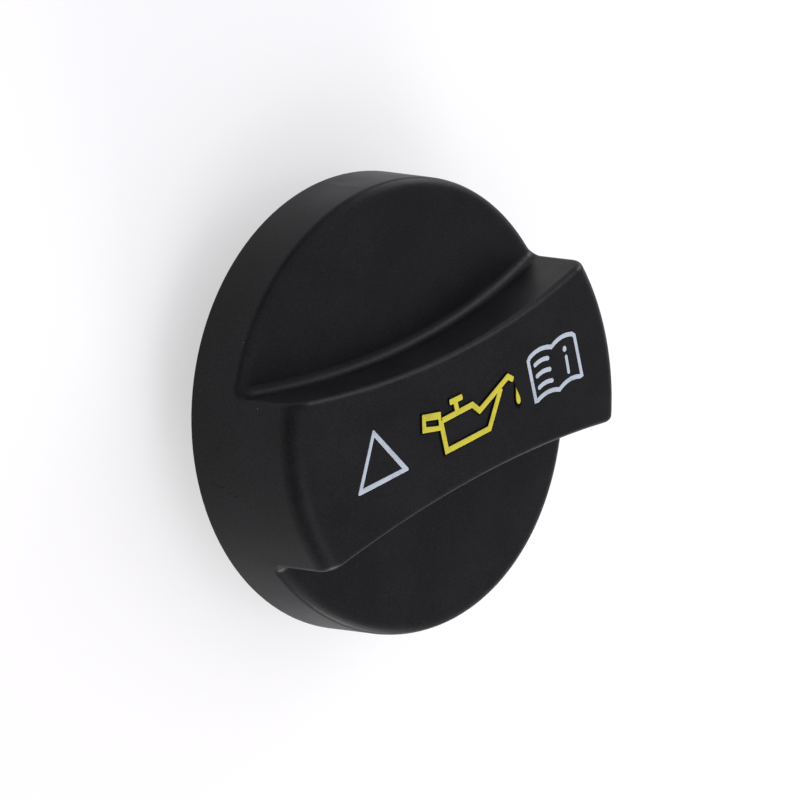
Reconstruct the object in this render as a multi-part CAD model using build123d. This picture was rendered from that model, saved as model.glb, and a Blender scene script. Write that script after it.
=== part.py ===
from build123d import *
import math
import os

# Oil filler cap, millimetres. +Z runs along the cap's axis with the grip up, X along the grip.
# The cap stands on the rim of its plug, and z = 0 is that rim.

# Skirt and outer wall
base_radius = 35.0          # at the open end of the skirt
base_bevel = 0.25           # on the lower outer edge
wall_draft = 2.5            # degrees
wall_thickness = 2.3

# Shelves either side of the grip, crowned along the grip and across it
shelf_height = 12.75        # at the cap's axis, above the open end of the skirt
shelf_length_radius = 178.0
shelf_width_radius = 500.0
shelf_rim_round = 2.9
shelf_rim_overrun = 0.8     # the rim round starts this far outside the wall, the edge round ends it

# Grip bar across the full diameter, waisted by two large arcs
grip_height = 23.0          # at the cap's axis, above the open end of the skirt
grip_waist = 19.9
grip_side_radius = 152.0
grip_crown_radius = 300.0
grip_end_round = 3.3
grip_foot_round = 1.5       # hollow round between the grip and a shelf
edge_round = 1.1            # along every outer edge of grip and shelves

# Plug that enters the filler neck
plug_drop = 11.0            # how far the plug stands out below the skirt
plug_radius = 20.0
plug_bore_radius = 15.6
plug_lead_in = 0.8

# Ribs between plug and skirt, and the room left below them for the neck's rim
rib_count = 8
rib_thickness = 1.6
neck_room = 5.0             # from the open end of the skirt up to the ribs

# Sealing ring of bevelled square section, and its groove on the plug
ring_width = 3.0            # along the plug
ring_depth = 3.0            # outwards from the groove's floor
ring_bevel = 0.8            # on the two outer edges
ring_clearance = 0.05       # between the ring and the groove's floor
groove_depth = 2.0
groove_side_play = 0.15     # on each side of the ring
groove_below_skirt = 1.2

# Bayonet lugs
lug_count = 2
lug_reach = 2.8             # beyond the plug's radius
lug_height = 3.2
lug_above_rim = 1.2
lug_angle = 56.0
lug_ramp_rise = 1.0         # the upper face climbs this much from the leading end
lug_stop_angle = 8.0

# Places that follow from the sizes
skirt_z = plug_drop
grip_top_z = skirt_z + grip_height
grip_side_y = grip_waist / 2 + grip_side_radius
groove_width = ring_width + 2 * groove_side_play
groove_top_z = skirt_z - groove_below_skirt
groove_floor_radius = plug_radius - groove_depth
lug_radius = plug_radius + lug_reach
lug_top_z = lug_above_rim + lug_height
beyond = 1.3 * base_radius  # reach of cutting shapes past the cap
overlap = 1.0               # how far joined pieces run into each other
on_base = (Align.CENTER, Align.CENTER, Align.MIN)


def upright_cylinder(radius, low_z, high_z):
    """Cylinder on the cap's axis between two heights."""
    return Pos(0, 0, low_z) * Cylinder(radius, high_z - low_z, align=on_base)


def spun(*points):
    """Solid of revolution about the cap's axis from (radius, height) points."""
    profile = make_face(Polyline(*points, close=True))
    return revolve(Plane.YZ * profile, Axis.Z)


def wall_radius(z):
    """Outer radius of the drafted wall at a height."""
    return base_radius - (z - skirt_z) * math.tan(math.radians(wall_draft))


def crowned_drum(inset, low_z):
    """The wall carried up to the grip's top: a drafted drum, crowned along the grip, rounded at the top."""
    high_z = grip_top_z + overlap
    foot_radius = wall_radius(low_z) - inset
    head_radius = wall_radius(high_z) - inset
    drum = spun((0, low_z), (foot_radius, low_z), (head_radius, high_z), (0, high_z))
    roller = Cylinder(grip_crown_radius - inset, 2 * beyond)
    drum &= Pos(0, 0, grip_top_z - grip_crown_radius) * Rot(90, 0, 0) * roller
    top_edge = drum.faces().sort_by(Axis.Z)[-1].edges()
    return fillet(top_edge, grip_end_round - inset)


def shelf_barrel(inset):
    """Everything below the shelves: an arc along the grip, turned about a far axis under the cap."""
    length_radius = shelf_length_radius - inset
    width_radius = shelf_width_radius - inset
    crest_z = skirt_z + shelf_height - inset
    axis_z = crest_z - width_radius
    end_z = crest_z - length_radius + math.sqrt(length_radius**2 - beyond**2)
    crest = ThreePointArc((-beyond, end_z), (0, crest_z), (beyond, end_z))
    frame = Polyline((beyond, end_z), (beyond, axis_z), (-beyond, axis_z), (-beyond, end_z))
    section = Plane.XZ * make_face([crest, frame])
    turning_axis = Axis((0, 0, axis_z), (1, 0, 0))
    half_turn = math.degrees(math.asin(beyond / width_radius))
    return revolve(section.rotate(turning_axis, -half_turn), turning_axis, revolution_arc=2 * half_turn)


def beside_grip(inset):
    """Large round block whose surface is the grip's side arc, moved into the grip by the inset."""
    block = upright_cylinder(grip_side_radius + inset, skirt_z - 2 * overlap, grip_top_z + 2 * overlap)
    return Pos(0, grip_side_y, 0) * block


def lies_on_grip_side(edge):
    """True for an edge on the large arc of the grip's side and within reach of the cap."""
    points = [edge @ 0.2, edge @ 0.5, edge @ 0.8]
    on_arc = [abs(math.hypot(p.X, p.Y - grip_side_y) - grip_side_radius) < 0.001 for p in points]
    return all(on_arc) and math.hypot(points[1].X, points[1].Y) < base_radius + shelf_rim_overrun


def shelf_cutter():
    """What is taken off above one shelf: the grip's side, the crowned shelf, its rim and the grip's foot."""
    disc_radius = wall_radius(skirt_z + shelf_height) + shelf_rim_overrun
    disc = upright_cylinder(disc_radius, skirt_z - 3 * overlap, grip_top_z)
    disc &= shelf_barrel(0)
    disc = fillet(disc.faces().sort_by(Axis.Z)[-1].edges(), shelf_rim_round)
    cutter = beside_grip(0) - disc
    foot = [edge for edge in cutter.edges() if lies_on_grip_side(edge)]
    return fillet(foot, grip_foot_round)


def outer_form():
    """Solid outside of the cap: drum, two shelves cut down beside the grip, and rounded edges."""
    drum = crowned_drum(0, skirt_z)
    drum = chamfer(drum.edges().sort_by(Axis.Z)[0], base_bevel)
    cutter = shelf_cutter()
    far_cutter = mirror(cutter, about=Plane.XZ)
    form = drum - cutter - far_cutter
    outer_edges = new_edges(drum, cutter, far_cutter, combined=form)
    return fillet(outer_edges, edge_round)


def hollow_form():
    """Inside of the cap before plug and ribs, one wall thickness within the outer form."""
    hollow = crowned_drum(wall_thickness, skirt_z - overlap)
    over_shelf = beside_grip(wall_thickness) - shelf_barrel(wall_thickness)
    return hollow - over_shelf - mirror(over_shelf, about=Plane.XZ)


def ribs():
    """Radial ribs between plug and skirt, set so that none lies along the grip."""
    length = base_radius - plug_bore_radius
    height = grip_top_z - skirt_z - neck_room
    rib = Box(length, rib_thickness, height, align=(Align.MIN, Align.CENTER, Align.MIN))
    rib = Pos(plug_bore_radius + overlap / 2, 0, skirt_z + neck_room) * rib
    step = 360 / rib_count
    return [Rot(0, 0, (i + 0.5) * step) * rib for i in range(rib_count)]


def plug():
    """Open tube with a lead-in chamfer, and a square groove for the sealing ring."""
    groove_low_z = groove_top_z - groove_width
    lead_radius = plug_radius - plug_lead_in
    return spun(
        (plug_bore_radius, 0),
        (lead_radius, 0),
        (plug_radius, plug_lead_in),
        (plug_radius, groove_low_z),
        (groove_floor_radius, groove_low_z),
        (groove_floor_radius, groove_top_z),
        (plug_radius, groove_top_z),
        (plug_radius, skirt_z + overlap),
        (plug_bore_radius, skirt_z + overlap),
    )


def ring_sector(inner_radius, outer_radius, low_z, high_z, start, sweep):
    """Part of a flat ring between two angles about the cap's axis."""
    section = Pos(inner_radius, low_z) * Rectangle(outer_radius - inner_radius, high_z - low_z,
                                                   align=(Align.MIN, Align.MIN))
    return revolve((Plane.XZ * section).rotate(Axis.Z, start), Axis.Z, revolution_arc=sweep)


def bayonet_lug():
    """One lug about the +Y axis: a ring sector whose upper face climbs to a stop at its trailing end."""
    root_radius = plug_radius - overlap
    start = 90 - lug_angle / 2
    lug = ring_sector(root_radius, lug_radius, lug_above_rim, lug_top_z, start, lug_angle)
    run = 2 * lug_radius * math.sin(math.radians(lug_angle / 2))
    ramp = Box(2 * run, 2 * lug_radius, 2 * lug_height, align=(Align.CENTER, Align.MIN, Align.MIN))
    ramp_tilt = math.degrees(math.atan(lug_ramp_rise / run))
    lug -= Pos(-run / 2, 0, lug_top_z) * Rot(0, ramp_tilt, 0) * ramp
    stop_start = 90 + lug_angle / 2 - lug_stop_angle
    stop_top_z = groove_top_z - groove_width
    return lug + ring_sector(root_radius, lug_radius, lug_above_rim, stop_top_z, stop_start, lug_stop_angle)


def cap_body():
    """The whole moulding."""
    hollow = hollow_form() - (upright_cylinder(plug_radius, skirt_z - overlap, grip_top_z)
                              - upright_cylinder(plug_bore_radius, skirt_z - overlap, grip_top_z))
    for rib in ribs():
        hollow -= rib
    body = outer_form() - hollow + plug()
    for i in range(lug_count):
        body += Rot(0, 0, i * 360 / lug_count) * bayonet_lug()
    return body


def sealing_ring():
    """Square-cut rubber ring in the plug's groove, with its two outer edges bevelled."""
    inner_radius = groove_floor_radius + ring_clearance
    outer_radius = inner_radius + ring_depth
    low_z = groove_top_z - groove_side_play - ring_width
    high_z = low_z + ring_width
    return spun(
        (inner_radius, low_z),
        (outer_radius - ring_bevel, low_z),
        (outer_radius, low_z + ring_bevel),
        (outer_radius, high_z - ring_bevel),
        (outer_radius - ring_bevel, high_z),
        (inner_radius, high_z),
    )


os.makedirs("parts", exist_ok=True)
for name, shape in (("cap_body", cap_body()), ("sealing_ring", sealing_ring())):
    export_step(shape, f"parts/{name}.step")
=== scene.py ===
import math

import bpy
import numpy as np
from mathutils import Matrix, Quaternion, Vector


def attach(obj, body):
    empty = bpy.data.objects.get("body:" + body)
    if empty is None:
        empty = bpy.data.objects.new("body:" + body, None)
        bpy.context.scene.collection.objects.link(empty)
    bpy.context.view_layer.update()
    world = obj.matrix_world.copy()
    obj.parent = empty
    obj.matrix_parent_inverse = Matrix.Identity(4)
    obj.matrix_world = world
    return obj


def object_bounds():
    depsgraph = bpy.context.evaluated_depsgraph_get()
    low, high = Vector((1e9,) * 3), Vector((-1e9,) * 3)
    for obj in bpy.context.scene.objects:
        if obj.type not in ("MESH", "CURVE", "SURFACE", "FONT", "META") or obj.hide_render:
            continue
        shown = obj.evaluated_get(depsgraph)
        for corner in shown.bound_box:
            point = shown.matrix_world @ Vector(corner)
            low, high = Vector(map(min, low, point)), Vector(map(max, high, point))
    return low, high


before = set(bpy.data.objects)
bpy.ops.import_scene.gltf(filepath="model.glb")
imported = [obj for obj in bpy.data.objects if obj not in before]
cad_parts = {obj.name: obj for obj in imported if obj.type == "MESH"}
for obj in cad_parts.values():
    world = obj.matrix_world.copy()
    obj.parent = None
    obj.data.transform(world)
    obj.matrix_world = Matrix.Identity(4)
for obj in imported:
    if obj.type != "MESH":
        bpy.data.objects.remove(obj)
cad_low, cad_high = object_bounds()

# Cap body: the whole cap is one injection moulding in black glass-filled nylon. The tool's
# spark-eroded steel leaves a fine matt grain, and a little dust has settled on it since.
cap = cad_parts["cap_body"]
mm = 0.001
plastic_black = (0.0034, 0.0032, 0.0037, 1.0)
plastic_pale = (0.0104, 0.0100, 0.0111, 1.0)      # on the grain's tips, and where the melt flowed greyer
plastic_pale_span = (0.36, 0.66)                  # of the mottle, from all black to all pale
plastic_grain_share = 0.65                        # of the mottle, the rest of it is cloud
plastic_roughness = (0.39, 0.47)
plastic_gloss = 0.12
grain_size = 0.26                                 # millimetres, as are all sizes in the finishes
grain_depth = 0.011
cloud_size = 9.0
noise_span = (0.3, 0.7)                           # where most of a noise's values lie
none_to_all = (0.0, 1.0)
dust_grey = (0.20, 0.20, 0.21, 1.0)
dust_cover = 0.8                                  # how much of the plastic a speck hides
dust_spacing = 1.4
dust_radius = 0.11
dust_share = 0.07                                 # of the places for a speck that hold one
scuff_start = (-34.84, 0.72, 14.40)               # on the wall under the grip's left end
scuff_end = (-34.55, -1.53, 20.59)
scuff_width = 0.22
scuff_depth = 0.02
scuff_black = (0.0010, 0.0010, 0.0012, 1.0)
blemish_roughness = 0.3                           # added by dust and by the scuff
draw_line_gap = 0.35                              # between the faint lines that the wall drew along Z
draw_line_depth = 0.004
draw_line_squeeze = (1.0, 1.0, 0.04)              # makes the lines 25 times as long as they are wide
draw_line_detail = 2.0


def add_node(tree, kind, inputs=None, **settings):
    """One shader node: its settings are set, and each input is linked if it is a socket, else set."""
    node = tree.nodes.new("ShaderNode" + kind)
    for name, value in settings.items():
        setattr(node, name, value)
    for name, value in (inputs or {}).items():
        if isinstance(value, bpy.types.NodeSocket):
            tree.links.new(value, node.inputs[name])
        else:
            node.inputs[name].default_value = value
    return node


def reckon(tree, operation, *values):
    """Result of one sum on numbers."""
    return add_node(tree, "Math", dict(enumerate(values)), operation=operation).outputs[0]


def reckon_places(tree, operation, first, second):
    """Result of one sum on two vectors: a vector, or a number for a dot product or a distance."""
    node = add_node(tree, "VectorMath", {0: first, 1: second}, operation=operation)
    return node.outputs["Value" if operation in ("DOT_PRODUCT", "DISTANCE") else "Vector"]


def scaled(tree, vector, factor):
    """A vector times a number."""
    inputs = {0: vector, "Scale": factor}
    return add_node(tree, "VectorMath", inputs, operation="SCALE").outputs["Vector"]


def between(tree, value, span, result):
    """A number carried smoothly from one span to another, and held at the ends."""
    labels = ("Value", "From Min", "From Max", "To Min", "To Max")
    inputs = dict(zip(labels, (value, *span, *result)))
    return add_node(tree, "MapRange", inputs, interpolation_type="SMOOTHSTEP").outputs["Result"]


def blended(tree, share, first, second):
    """Colour between two colours, which are the sockets 6 and 7 of a Mix node."""
    return add_node(tree, "Mix", {0: share, 6: first, 7: second}, data_type="RGBA").outputs[2]


def effect_group(name, inputs, outputs):
    """Empty node group with a vector input Place, number inputs and number outputs."""
    tree = bpy.data.node_groups.new(name, "ShaderNodeTree")
    tree.interface.new_socket("Place", in_out="INPUT", socket_type="NodeSocketVector")
    for label in inputs:
        tree.interface.new_socket(label, in_out="INPUT", socket_type="NodeSocketFloat")
    for label in outputs:
        tree.interface.new_socket(label, in_out="OUTPUT", socket_type="NodeSocketFloat")
    return tree, tree.nodes.new("NodeGroupInput").outputs, tree.nodes.new("NodeGroupOutput").inputs


def moulded_grain():
    """Effect: fine eroded grain, and broad clouds of tone, as two sizes of noise in the solid."""
    details = {"Grain": 3.0, "Cloud": 4.0}
    falloff = 0.55                                # of each finer layer of the noise
    tree, given, made = effect_group("moulded_grain", ("Grain Size", "Cloud Size"), ("Grain", "Cloud"))
    for result, detail in details.items():
        place = scaled(tree, given["Place"], reckon(tree, "DIVIDE", 1.0, given[result + " Size"]))
        inputs = {"Vector": place, "Scale": 1.0, "Detail": detail, "Roughness": falloff}
        tree.links.new(add_node(tree, "TexNoise", inputs).outputs["Fac"], made[result])
    return tree


def settled_dust():
    """Effect: round specks about random points in the solid, of which only a share is kept."""
    smallest = 0.3                                # speck, in speck radii; the largest has 1 more
    edge_to_core = (1.0, 0.4)                     # where a speck fades in, in its own radii
    tree, given, made = effect_group("settled_dust", ("Spacing", "Speck Radius", "Share"), ("Dust",))
    place = scaled(tree, given["Place"], reckon(tree, "DIVIDE", 1.0, given["Spacing"]))
    cells = add_node(tree, "TexVoronoi", {"Vector": place, "Scale": 1.0})
    chance = add_node(tree, "SeparateColor", {0: cells.outputs["Color"]}).outputs
    away = reckon(tree, "MULTIPLY", cells.outputs["Distance"], given["Spacing"])
    radius = reckon(tree, "MULTIPLY", given["Speck Radius"], reckon(tree, "ADD", chance["Green"], smallest))
    speck = between(tree, reckon(tree, "DIVIDE", away, radius), edge_to_core, none_to_all)
    kept = reckon(tree, "LESS_THAN", chance["Red"], given["Share"])
    tree.links.new(reckon(tree, "MULTIPLY", speck, kept), made["Dust"])
    return tree


def placed_effect(tree, group, place, **values):
    """Outputs of a node group in a material, with its own values, at a place in millimetres."""
    inputs = {label.replace("_", " "): value for label, value in values.items()}
    return add_node(tree, "Group", {"Place": place, **inputs}, node_tree=group).outputs


def new_material(name):
    """Empty Principled material, its node tree, its shader, and its Object coordinates in millimetres."""
    material = bpy.data.materials.new(name)
    material.use_nodes = True
    tree = material.node_tree
    place = scaled(tree, tree.nodes.new("ShaderNodeTexCoord").outputs["Object"], 1 / mm)
    return material, tree, tree.nodes["Principled BSDF"], place


def mottled(tree, texture, grain_share):
    """Grain and cloud added up, the grain by its share and the cloud by the rest."""
    cloud = reckon(tree, "MULTIPLY", texture["Cloud"], 1 - grain_share)
    return reckon(tree, "MULTIPLY_ADD", texture["Grain"], grain_share, cloud)


def colour_under_dust(tree, shader, colour, dust):
    """Base colour of a material with its dust over it."""
    dusty = blended(tree, reckon(tree, "MULTIPLY", dust, dust_cover), colour, dust_grey)
    tree.links.new(dusty, shader.inputs["Base Color"])


def emboss(tree, shader, height):
    """Bump of a material from heights in millimetres."""
    bump = add_node(tree, "Bump", {"Height": reckon(tree, "MULTIPLY", height, mm), "Distance": 1.0})
    tree.links.new(bump.outputs["Normal"], shader.inputs["Normal"])


def scratch_mask(tree, place, start, end, width):
    """1 on a line between two points that a noise makes wavy, fading to 0 at its width."""
    wobble = {"Vector": place, "Scale": 1.1, "Detail": 2.0}
    noise_middle = (0.5, 0.5, 0.5)
    wander = 1.6
    run = Vector(end) - Vector(start)
    noise = add_node(tree, "TexNoise", wobble).outputs["Color"]
    aside = scaled(tree, reckon_places(tree, "SUBTRACT", noise, noise_middle), wander)
    from_start = reckon_places(tree, "SUBTRACT", reckon_places(tree, "ADD", place, aside), start)
    along = reckon_places(tree, "DOT_PRODUCT", from_start, run / run.length_squared)
    nearest = scaled(tree, tuple(run), add_node(tree, "Clamp", {"Value": along}).outputs[0])
    gap = reckon_places(tree, "DISTANCE", from_start, nearest)
    return between(tree, gap, (0.0, width), (1.0, 0.0))


grain_group = moulded_grain()
dust_group = settled_dust()
plastic, tree, shader, place = new_material("moulded_black_plastic")
texture = placed_effect(tree, grain_group, place, Grain_Size=grain_size, Cloud_Size=cloud_size)
dust = placed_effect(tree, dust_group, place, Spacing=dust_spacing, Speck_Radius=dust_radius,
                     Share=dust_share)["Dust"]
scuff = scratch_mask(tree, place, scuff_start, scuff_end, scuff_width)
paleness = between(tree, mottled(tree, texture, plastic_grain_share), plastic_pale_span, none_to_all)
colour = blended(tree, scuff, blended(tree, paleness, plastic_black, plastic_pale), scuff_black)
colour_under_dust(tree, shader, colour, dust)
rough = between(tree, texture["Cloud"], noise_span, plastic_roughness)
rough = reckon(tree, "MULTIPLY_ADD", reckon(tree, "MAXIMUM", dust, scuff), blemish_roughness, rough)
tree.links.new(rough, shader.inputs["Roughness"])
squeezed = reckon_places(tree, "MULTIPLY", place, draw_line_squeeze)
line_noise = {"Vector": squeezed, "Scale": 1 / draw_line_gap, "Detail": draw_line_detail}
lines = add_node(tree, "TexNoise", line_noise).outputs["Fac"]
height = reckon(tree, "MULTIPLY", scuff, -scuff_depth)
height = reckon(tree, "MULTIPLY_ADD", texture["Grain"], grain_depth, height)
emboss(tree, shader, reckon(tree, "MULTIPLY_ADD", lines, draw_line_depth, height))
shader.inputs["Specular IOR Level"].default_value = plastic_gloss
cap.material_slots[0].material = plastic

# Sealing ring: a square-cut ring of black oil-proof rubber, stretched into the groove of the plug
# and held there by its own pull. In store the rubber sweats out a pale bloom.
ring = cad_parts["sealing_ring"]
rubber_black = (0.012, 0.012, 0.012, 1.0)
rubber_bloom = (0.030, 0.029, 0.028, 1.0)
rubber_bloom_span = (0.4, 0.7)                    # of the cloud, from no bloom to full bloom
rubber_roughness = (0.5, 0.68)
rubber_gloss = 0.4
rubber_grain_depth = 0.01
rubber, tree, shader, place = new_material("seal_rubber")
texture = placed_effect(tree, grain_group, place, Grain_Size=0.5, Cloud_Size=4.0)
dust = placed_effect(tree, dust_group, place, Spacing=1.0, Speck_Radius=0.09, Share=0.2)["Dust"]
bloom = between(tree, texture["Cloud"], rubber_bloom_span, none_to_all)
colour_under_dust(tree, shader, blended(tree, bloom, rubber_black, rubber_bloom), dust)
tree.links.new(between(tree, texture["Cloud"], noise_span, rubber_roughness), shader.inputs["Roughness"])
emboss(tree, shader, reckon(tree, "MULTIPLY", texture["Grain"], rubber_grain_depth))
shader.inputs["Specular IOR Level"].default_value = rubber_gloss
ring.material_slots[0].material = rubber

# Pointer triangle: an outline in bluish white ink, pad-printed on the crowned top of the grip
# near its left end. The ink stands a few hundredths of a millimetre proud.
crown_radius = 300 * mm                           # of the grip's top, along X
print_height = 0.03 * mm
ink_depth = 0.06 * mm                             # how far a mark's body reaches into the plastic
crease_angle = math.radians(35)                   # past which two faces of a mark meet in a sharp edge
ink_white = (0.44, 0.50, 0.56, 1.0)
ink_thin = (0.31, 0.35, 0.40, 1.0)                # where the pad left less ink
ink_grain_share = 0.5
ink_cover_span = 0.16                             # of the mottle, from thin ink to full ink
ink_roughness = (0.42, 0.6)
ink_grain_depth = 0.004
triangle_outer = np.array([(-18.94, 4.85), (-24.15, -3.70), (-13.86, -3.42)]) * mm
triangle_inner = np.array([(-19.01, 3.61), (-22.95, -2.90), (-15.19, -2.76)]) * mm
triangle_outer_round = 0.22 * mm
triangle_inner_round = 0.03 * mm


def unit(vectors):
    """Plane vectors brought to length 1."""
    return vectors / np.linalg.norm(vectors, axis=-1, keepdims=True)


def on_crown(plan, rise):
    """Points over plan places: the crown's top less R - sqrt(R² - x²), plus a rise."""
    drop = crown_radius - np.sqrt(crown_radius**2 - plan[..., 0] ** 2)
    return np.concatenate([plan, (cad_high.z - drop + rise)[..., None]], axis=-1)


def rounded_outline(corners, radius, steps=8):
    """Closed outline with arcs for corners. Each arc turns about a point on the corner's bisector,
    the radius over the sine of half the corner's angle away, from one leg to the other."""
    to_last = unit(np.roll(corners, 1, axis=0) - corners)
    to_next = unit(np.roll(corners, -1, axis=0) - corners)
    inward = unit(to_last + to_next)
    sideways = unit(to_next - to_last)
    half_angle = np.arccos(np.sum(inward * to_next, axis=1))
    centres = corners + inward * (radius / np.sin(half_angle))[:, None]
    turn = np.linspace(-1, 1, steps) * (np.pi / 2 - half_angle)[:, None]
    spokes = sideways[:, None] * np.sin(turn)[..., None] - inward[:, None] * np.cos(turn)[..., None]
    return (centres[:, None] + radius * spokes).reshape(-1, 2)


def grid_faces(rows, columns, close_rows):
    """Four-sided faces of a grid whose columns close on themselves, seen from outside."""
    i, j = np.meshgrid(np.arange(rows if close_rows else rows - 1), np.arange(columns), indexing="ij")
    i_next, j_next = (i + 1) % rows, (j + 1) % columns
    faces = (i * columns + j, i * columns + j_next, i_next * columns + j_next, i_next * columns + j)
    return np.stack(faces, axis=-1).reshape(-1, 4)


def flat_section(low, high):
    """Section of a printed line, as half-widths across and rises: flat on top, with eased edges."""
    across = np.array((1, 1, 0.94, 0.8))
    rise = low + (high - low) * np.array((0, 0.7, 0.92, 1))
    return np.concatenate([across, -across[::-1]]), np.concatenate([rise, rise[::-1]])


def finer(points, closed, parts=8):
    """Points with each straight step between them cut into parts, so that they follow the crown."""
    ends = np.concatenate([points, points[:1]]) if closed else points
    at = np.arange(parts * (len(ends) - 1) + (not closed)) / parts
    return np.stack([np.interp(at, np.arange(len(ends)), side) for side in ends.T], axis=1)


def ribbon(middle, half, section, closed):
    """Bar on the crown: at each middle point its section runs from plus half to minus half.
    An open bar has a flat face at each end."""
    across, rise = section
    plan = finer(middle, closed)[:, None] + finer(half, closed)[:, None] * across[:, None]
    rows, columns = plan.shape[:2]
    blocks = [grid_faces(rows, columns, closed)]
    if not closed:
        first = np.arange(columns)
        blocks.append(np.stack([first[::-1], (rows - 1) * columns + first]))
    return on_crown(plan, rise).reshape(-1, 3), blocks


def band(outer, inner, section):
    """Closed ribbon between two outlines that run anticlockwise and match point for point."""
    return ribbon((outer + inner) / 2, (inner - outer) / 2, section, closed=True)


def lay_marks(name, shells, material):
    """One piece from several shells of points and blocks of faces, on the cap, in a slot's finish."""
    points, faces = [], []
    for shell_points, blocks in shells:
        for block in blocks:
            faces += (len(points) + block).tolist()
        points += shell_points.tolist()
    mesh = bpy.data.meshes.new(name)
    mesh.from_pydata(points, [], faces)
    mesh.polygons.foreach_set("use_smooth", np.ones(len(faces), bool))
    mesh.set_sharp_from_angle(angle=crease_angle)
    mesh.materials.append(material)
    piece = bpy.data.objects.new(name, mesh)
    bpy.context.scene.collection.objects.link(piece)
    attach(piece, "root")


def ink(name, full, thin, thin_below):
    """Ink material: even colour that thins out where the mottle is low, with a slightly uneven gloss."""
    material, tree, shader, place = new_material(name)
    texture = placed_effect(tree, grain_group, place, Grain_Size=0.16, Cloud_Size=2.2)
    cover_span = (thin_below, thin_below + ink_cover_span)
    cover = between(tree, mottled(tree, texture, ink_grain_share), cover_span, none_to_all)
    tree.links.new(blended(tree, cover, thin, full), shader.inputs["Base Color"])
    tree.links.new(between(tree, texture["Grain"], noise_span, ink_roughness), shader.inputs["Roughness"])
    emboss(tree, shader, reckon(tree, "MULTIPLY", texture["Grain"], ink_grain_depth))
    return material


white_ink = ink("white_pad_print", ink_white, ink_thin, thin_below=0.36)
printed = flat_section(-ink_depth, print_height)
triangle = band(rounded_outline(triangle_outer, triangle_outer_round),
                rounded_outline(triangle_inner, triangle_inner_round), printed)
lay_marks("pointer_triangle", [triangle], white_ink)

# Handbook sign: an open book near the right end of the grip, printed with the same pad and ink. Three
# arched lines stand on its left page, and an upright stroke under a dot on its right page.
print_width = 0.68 * mm
book_spine = 19.4 * mm                            # place of the book's fold along the grip
page_width = 5.62 * mm
page_top = 3.43 * mm
page_bottom = -3.44 * mm
page_arch = 0.60 * mm
page_corner = 0.24 * mm                           # taken off each corner of the book's line
page_line_ends = (14.75 * mm, 18.45 * mm)
page_line_heights = (2.0 * mm, 0.22 * mm, -1.6 * mm)
page_line_arch = 0.33 * mm
stem_ends = np.array([(22.29, 1.1), (22.16, -1.95)]) * mm
stem_width = 0.62 * mm
dot_place = np.array((22.25, 2.06)) * mm
dot_radius = 0.45 * mm
dot_steps = 24


def arched_line(start, end, arch, steps=13):
    """Points between two ends on a parabola: at a share t of the way it rises by 4 t (1 - t) of its arch."""
    t = np.linspace(0, 1, steps)[:, None]
    return (1 - t) * start + t * end + 4 * t * (1 - t) * np.array((0, arch))


def stroke(path, width, section, closed):
    """Ribbon of a width along a path. Each corner is mitred, wider by 1 over the cosine of half its
    turn."""
    ahead = unit(np.roll(path, -1, axis=0) - path)
    behind = unit(path - np.roll(path, 1, axis=0))
    if not closed:
        ahead[-1] = behind[-1]
        behind[0] = ahead[0]
    left = ahead[:, ::-1] * (-1, 1)
    mitre = unit(ahead + behind)[:, ::-1] * (-1, 1)
    mitre /= np.sum(mitre * left, axis=1, keepdims=True)
    return ribbon(path, mitre * np.broadcast_to(width, len(path))[:, None] / 2, section, closed)


def open_stroke(path, width, section, end_length, steps=6):
    """Stroke with oval ends: at a distance d from an end of length e it has sqrt(1 - (1 - d/e)²) of its
    width. The ends start a small angle into the oval, which leaves them a little blunt."""
    blunt_angle = 0.12
    reach = np.concatenate([[0], np.cumsum(np.linalg.norm(np.diff(path, axis=0), axis=1))])
    ends = end_length * (1 - np.cos(np.linspace(blunt_angle, np.pi / 2, steps)))
    inner = reach[(reach > end_length) & (reach < reach[-1] - end_length)]
    at = np.concatenate([ends, inner, reach[-1] - ends[::-1]])
    points = np.stack([np.interp(at, reach, path[:, 0]), np.interp(at, reach, path[:, 1])], axis=1)
    from_end = np.minimum(np.minimum(at, reach[-1] - at), end_length)
    return stroke(points, width * np.sqrt(1 - (1 - from_end / end_length) ** 2), section, closed=False)


def spot(outline, section):
    """Filled mark: rings of its outline, drawn in and raised as one half of a section, with a point at
    each pole."""
    middle = outline.mean(axis=0)
    across, rise = (side[:len(side) // 2] for side in section)
    plan = middle + across[:, None, None] * (outline - middle)
    rings = on_crown(plan, rise[:, None]).reshape(-1, 3)
    poles = on_crown(np.array([middle, middle]), np.array([rise[0], rise[-1]]))
    rows, columns = plan.shape[:2]
    first = np.arange(columns)
    second = (first + 1) % columns
    top_ring = (rows - 1) * columns
    under = np.stack([second, first, np.full(columns, rows * columns)], axis=1)
    over = np.stack([top_ring + first, top_ring + second, np.full(columns, rows * columns + 1)], axis=1)
    return np.concatenate([rings, poles]), [grid_faces(rows, columns, False)[:, ::-1], under, over]


def page_edge(height, ends, step):
    """Two arched page edges that meet at the fold, between corners of the book's line that lie a step
    above or below the edges' ends."""
    corners = [np.array((end, height)) for end in ends]
    fold = np.array((book_spine, height))
    first = arched_line(corners[0], fold, page_arch)
    second = arched_line(fold, corners[1], page_arch)
    drawn_in = [corner + np.array((0, step)) for corner in corners]
    return np.concatenate([drawn_in[:1], first[1:], second[1:-1], drawn_in[1:]])


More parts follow.
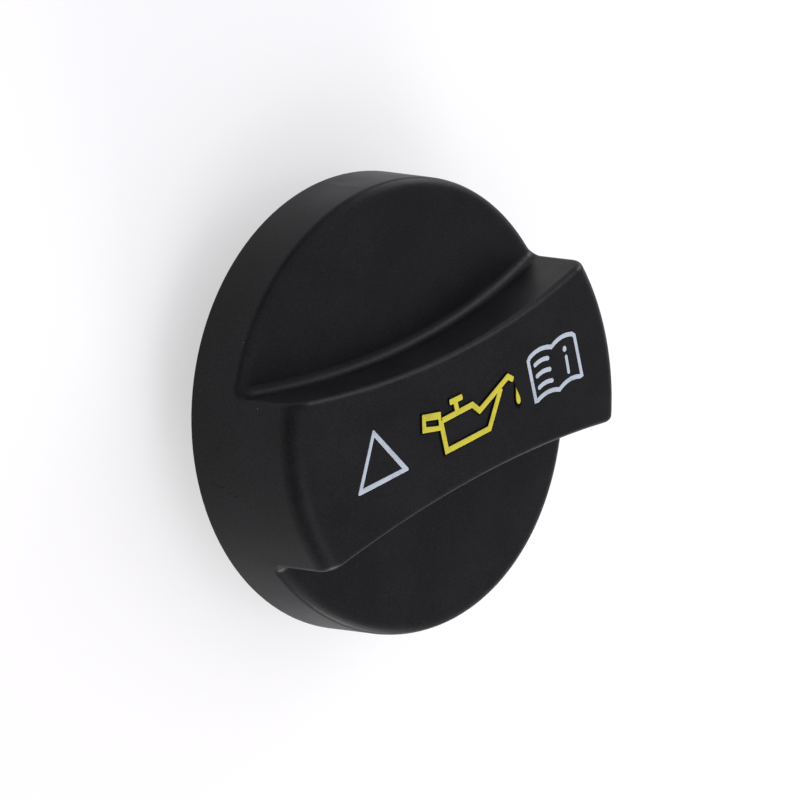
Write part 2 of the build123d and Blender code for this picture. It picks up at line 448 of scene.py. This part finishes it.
left_edge = book_spine - page_width
right_edge = book_spine + page_width
book_line = np.concatenate([page_edge(page_bottom, (left_edge, right_edge), page_corner),
                            page_edge(page_top, (right_edge, left_edge), -page_corner)])
book = [stroke(book_line, print_width, printed, closed=True)]
for line_height in page_line_heights:
    line = arched_line(*(np.array((end, line_height)) for end in page_line_ends), page_line_arch)
    book.append(open_stroke(line, print_width, printed, print_width / 2))
book.append(open_stroke(stem_ends, stem_width, printed, stem_width / 2))
around = np.linspace(0, 2 * np.pi, dot_steps, endpoint=False)
circle = np.stack([np.cos(around), np.sin(around)], axis=1)
book.append(spot(dot_place + dot_radius * circle, printed))
lay_marks("handbook_sign", book, white_ink)

# Oil-can sign: rounded ridges moulded with the grip's top, with yellow ink pressed onto their crests by
# a hot stamp. Their flanks are painted a deeper black than the plastic, as painted shade beside the ridges.
crest_width = 0.86 * mm                           # of the ink
flank_reach = 1.58                                # of a ridge beside its middle, in half crest widths
ridge_height = 0.25 * mm
ink_lift = 0.02 * mm
bar_end = crest_width / 6                         # length of a bar's oval end
# painted shade: the ridges' flanks are coloured darker than the plastic, where shade falls beside them
flank_shade_black = (0.0012, 0.0012, 0.0014, 1.0)
flank_roughness = (0.5, 0.65)
flank_gloss = 0.03
ink_yellow = (0.55, 0.50, 0.026, 1.0)
ink_yellow_thin = (0.38, 0.33, 0.016, 1.0)
can_handle_outer = np.array([(-9.67, 3.51), (-10.31, 0.88), (-6.53, -0.03), (-6.04, 2.71)]) * mm
can_handle_inner = np.array([(-9.23, 2.40), (-9.39, 1.52), (-6.91, 0.79), (-6.74, 1.78)]) * mm
can_handle_round = 0.15 * mm
can_rim_and_spout = np.array([(-6.12, 1.30), (0.39, 1.38), (1.59, -0.03), (8.69, 2.70), (9.69, 1.87)]) * mm
can_belly = np.array([(-6.38, 1.30), (-6.37, -3.38), (2.83, -3.36), (6.78, 1.60)]) * mm
can_filler_stem = np.array([(-2.80, 1.30), (-2.82, 3.40)]) * mm
can_filler_bar = np.array([(-3.98, 3.33), (-1.25, 3.28)]) * mm
drop_middle = np.array((9.91, -0.75)) * mm
drop_half_height = 1.34 * mm
drop_half_width = 0.447 * mm


def ridge_section(reach, lift, steps=13):
    """Section of a moulded ridge out to a reach: its height times sqrt(1 - |u|³) at u flank reaches from
    its middle, plus a lift, with a foot sunk straight down at each side."""
    across = reach * np.sin(np.linspace(np.pi / 2, -np.pi / 2, steps))
    rise = ridge_height * np.sqrt(1 - np.abs(across / flank_reach) ** 3) + lift
    rise = np.concatenate([rise[:1] - ink_depth, rise, rise[-1:] - ink_depth])
    return np.concatenate([across[:1], across, across[-1:]]), rise


def drop_outline(middle, half_height, half_width, steps=28):
    """Falling drop: height cos t, and width sin t times the square of sin t/2, which draws it out to a
    tip above. That product is widest at 3/8 of the root of 3."""
    t = np.linspace(0, 2 * np.pi, steps, endpoint=False) + np.pi / steps
    widest = 3 / 8 * math.sqrt(3)
    across = -np.sin(t) * np.sin(t / 2) ** 2 / widest
    return middle + np.stack([half_width * across, half_height * np.cos(t)], axis=1)


def can_shells(section):
    """The ridges of the oil can and its drop, in one section."""
    handle = [rounded_outline(corners, can_handle_round) for corners in (can_handle_outer, can_handle_inner)]
    bars = (can_rim_and_spout, can_belly, can_filler_stem, can_filler_bar)
    return ([band(*handle, section)]
            + [open_stroke(bar, crest_width, section, bar_end) for bar in bars]
            + [spot(drop_outline(drop_middle, drop_half_height, drop_half_width), section)])


# Flank material: painted shade, a deeper black on the ridges' flanks, blended by cloud into the plastic's
# black
flank_shade_material, tree, shader, place = new_material("shaded_flank_plastic")
texture = placed_effect(tree, grain_group, place, Grain_Size=0.2, Cloud_Size=3.0)
tree.links.new(blended(tree, texture["Cloud"], flank_shade_black, plastic_black), shader.inputs["Base Color"])
tree.links.new(between(tree, texture["Grain"], noise_span, flank_roughness), shader.inputs["Roughness"])
shader.inputs["Specular IOR Level"].default_value = flank_gloss
lay_marks("oil_can_bars", can_shells(ridge_section(flank_reach, 0.0)), flank_shade_material)
yellow_ink = ink("yellow_crest_ink", ink_yellow, ink_yellow_thin, thin_below=0.34)
lay_marks("oil_can_ink", can_shells(ridge_section(1.0, ink_lift)), yellow_ink)

# Table: a plain white board that the cap stands on. It keeps the cap's soft shadow, and is open
# from below so that the plug can be looked at.
board_reach = 2.5                                 # metres each way from the cap
board_white = (0.93, 0.93, 0.93, 1.0)
shadow_lift = 0.5                                 # share of plain white that the board gives back
board_mesh = bpy.data.meshes.new("white_table")
board_corners = np.array([(-1, -1, 0), (1, -1, 0), (1, 1, 0), (-1, 1, 0)]) * board_reach
board_mesh.from_pydata(board_corners.tolist(), [], [(0, 1, 2, 3)])
table = bpy.data.objects.new("white_table", board_mesh)
bpy.context.scene.collection.objects.link(table)
board = bpy.data.materials.new("white_board")
board.use_nodes = True
tree = board.node_tree
tree.nodes.remove(tree.nodes["Principled BSDF"])
rays = tree.nodes.new("ShaderNodeLightPath").outputs
seen = reckon(tree, "MAXIMUM", rays["Is Camera Ray"], rays["Is Glossy Ray"])
seen = reckon(tree, "MAXIMUM", seen, rays["Is Transmission Ray"])
lift = reckon(tree, "MULTIPLY", seen, shadow_lift)
matt = add_node(tree, "BsdfDiffuse", {"Color": board_white}).outputs[0]
white = add_node(tree, "Emission", {"Strength": 1.0}).outputs[0]
lifted = add_node(tree, "MixShader", {0: lift, 1: matt, 2: white}).outputs[0]
from_below = tree.nodes.new("ShaderNodeNewGeometry").outputs["Backfacing"]
through = tree.nodes.new("ShaderNodeBsdfTransparent").outputs[0]
surface = add_node(tree, "MixShader", {0: from_below, 1: lifted, 2: through}).outputs[0]
tree.links.new(surface, tree.nodes["Material Output"].inputs["Surface"])
board_mesh.materials.append(board)

# Light: a room that is dark at the horizon and bright overhead, two low softboxes at the cap's sides
# and a weak one high over the left end of the grip.
overhead = (1.17, 1.13, 1.22, 1.0)
horizon = (0.0, 0.0, 0.0, 1.0)
lamp_distance = 1.0
room = bpy.data.worlds.new("studio_room")
bpy.context.scene.world = room
room.use_nodes = True
tree = room.node_tree
direction = tree.nodes.new("ShaderNodeTexCoord").outputs["Generated"]
height = add_node(tree, "SeparateXYZ", {0: direction}).outputs["Z"]
colour = blended(tree, reckon(tree, "MAXIMUM", height, 0.0), horizon, overhead)
tree.links.new(colour, tree.nodes["Background"].inputs["Color"])


def away(azimuth, elevation):
    """Direction of length 1 from the cap, by its angles in degrees."""
    turn, climb = math.radians(azimuth), math.radians(elevation)
    level = math.cos(climb)
    return Vector((level * math.cos(turn), level * math.sin(turn), math.sin(climb)))


def softbox(name, azimuth, elevation, side, watts, colour):
    """Square lamp in one direction from the cap, turned to face it."""
    lamp = bpy.data.lights.new(name, "AREA")
    lamp.size = side
    lamp.energy = watts
    lamp.color = colour
    box = bpy.data.objects.new(name, lamp)
    box.location = away(azimuth, elevation) * lamp_distance
    box.rotation_mode = "QUATERNION"
    box.rotation_quaternion = away(azimuth, elevation).to_track_quat("Z", "Y")
    bpy.context.scene.collection.objects.link(box)


softbox("softbox_side", azimuth=270, elevation=12, side=0.40, watts=9.4, colour=(1.0, 0.99, 0.98))
softbox("softbox_back", azimuth=30, elevation=12, side=0.40, watts=5.4, colour=(0.92, 0.96, 1.0))
softbox("softbox_left", azimuth=225, elevation=55, side=0.45, watts=1.4, colour=(1.0, 0.97, 1.0))

# Camera: a long lens high over the left end of the grip, rolled until the cap's axis points to the
# right. It stands where the photograph was taken from.
aim = Vector((0.541, 0.593, 18.476)) * mm
camera_distance = 564.11 * mm
camera_azimuth = 154.196
camera_elevation = 45.474
camera_roll = math.radians(97.083)
focal_length = 168.32                             # millimetres, as is the sensor's width
sensor_width = 36.0
lens = bpy.data.cameras.new("long_lens")
lens.lens = focal_length
lens.sensor_width = sensor_width
camera = bpy.data.objects.new("camera", lens)
back = away(camera_azimuth, camera_elevation)
camera.location = aim + back * camera_distance
camera.rotation_mode = "QUATERNION"
camera.rotation_quaternion = back.to_track_quat("Z", "Y") @ Quaternion((0, 0, 1), camera_roll)
bpy.context.scene.collection.objects.link(camera)
bpy.context.scene.camera = camera
bpy.context.scene.view_settings.view_transform = "Standard"
